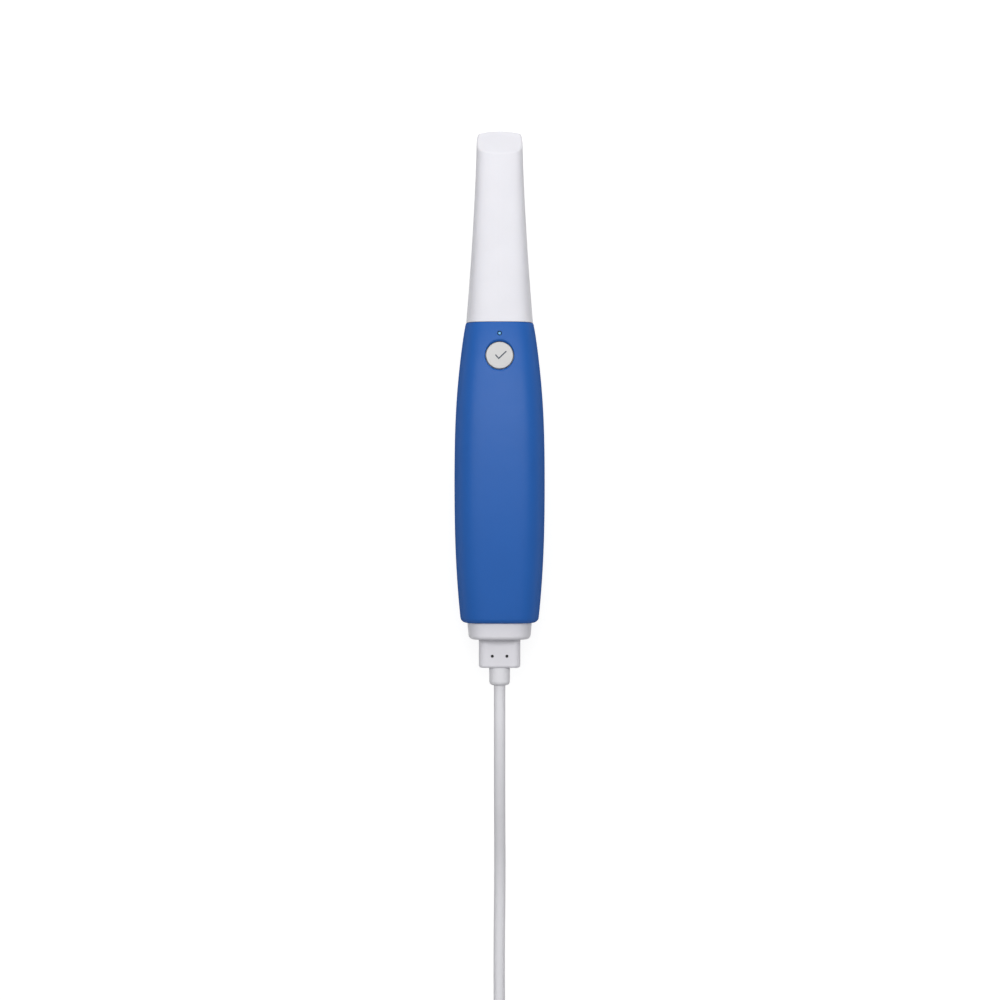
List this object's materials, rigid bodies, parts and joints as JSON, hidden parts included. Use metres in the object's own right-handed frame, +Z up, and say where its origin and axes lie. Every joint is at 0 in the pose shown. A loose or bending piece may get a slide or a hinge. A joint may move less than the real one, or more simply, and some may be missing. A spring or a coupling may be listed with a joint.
{
  "type": "intraoral scanner",
  "caption": "Barrel-bodied dental scanning wand with a pull-off mirror tip, a round scan button and a plug-in cable.",
  "frame": {"origin": "under the middle of the wand, between the end of the tip and the rear of the end cap, on the plane that the wand rests on; the cable is left out", "axes": "+Y along the wand to the tip, +Z up from the rest flat to the button side, +X to the right seen from above"},
  "size_m": [0.0696, 0.5467, 0.0474],
  "materials": {
    "case_blue": "satin",
    "tip_white": "satin",
    "collar_grey": "satin",
    "button_grey": "satin",
    "nose_black": "matte",
    "glass": "polished",
    "mirror": "polished",
    "aluminium": "satin",
    "black_metal": "matte",
    "board_green": "satin",
    "chip_black": "matte",
    "steel": "satin",
    "seal_rubber": "matte",
    "pad_silicone": "matte",
    "ribbon_amber": "satin",
    "light_clear": "polished",
    "cord_grey": "satin",
    "tie_black": "matte"
  },
  "bodies": {
    "handpiece": {"upper_case": "case_blue", "lower_case": "case_blue", "end_cap": "collar_grey", "end_cap_ring": "seal_rubber", "end_cap_screws": "steel", "nose": "nose_black", "nose_ring": "seal_rubber", "nose_window": "glass", "window_heater": "ribbon_amber", "nose_screws": "steel", "optical_chassis": "aluminium", "chassis_screws": "steel", "projector_barrel": "black_metal", "projector_lens": "glass", "camera_left_barrel": "black_metal", "camera_left_lens": "glass", "camera_right_barrel": "black_metal", "camera_right_lens": "glass", "camera_board": "board_green", "image_sensors": "chip_black", "camera_ribbon": "ribbon_amber", "light_engine": "black_metal", "lamp_board": "board_green", "heat_sink": "aluminium", "main_board": "board_green", "processor": "chip_black", "thermal_pad": "pad_silicone", "memory_chips": "chip_black", "board_screws": "steel", "switch_board": "board_green", "switch_body": "chip_black", "switch_board_screws": "steel", "status_light": "light_clear", "light_pipe": "light_clear", "return_pad": "pad_silicone", "cable_socket": "steel", "socket_tongue": "chip_black", "socket_board": "board_green"},
    "scan_button": {"button_cap": "button_grey", "switch_plunger": "chip_black"},
    "tip": {"tip_shell": "tip_white", "tip_mirror": "mirror"},
    "cable": {"plug_housing": "collar_grey", "plug_screws": "black_metal", "plug_shell": "steel", "strain_relief": "cord_grey", "cord_lead": "cord_grey", "cord_hank": "cord_grey", "cord_tail": "cord_grey", "cord_tie": "tie_black", "usb_relief": "cord_grey", "usb_moulding": "collar_grey", "usb_shell": "steel"}
  },
  "joints": [
    {"name": "button_press", "type": "slide", "parent": "handpiece", "child": "scan_button", "axis": [0, -0.1154, -0.9933], "range_m": [0, 0.0006], "stiffness_N_per_m": 2500, "deforming": ["return_pad"]},
    {"name": "tip_pull", "type": "slide", "parent": "handpiece", "child": "tip", "axis": [0, 1, 0], "range_m": [0, 0.06]},
    {"name": "cable_pull", "type": "slide", "parent": "handpiece", "child": "cable", "axis": [0, -1, 0], "range_m": [0, 0.02]}
  ]
}
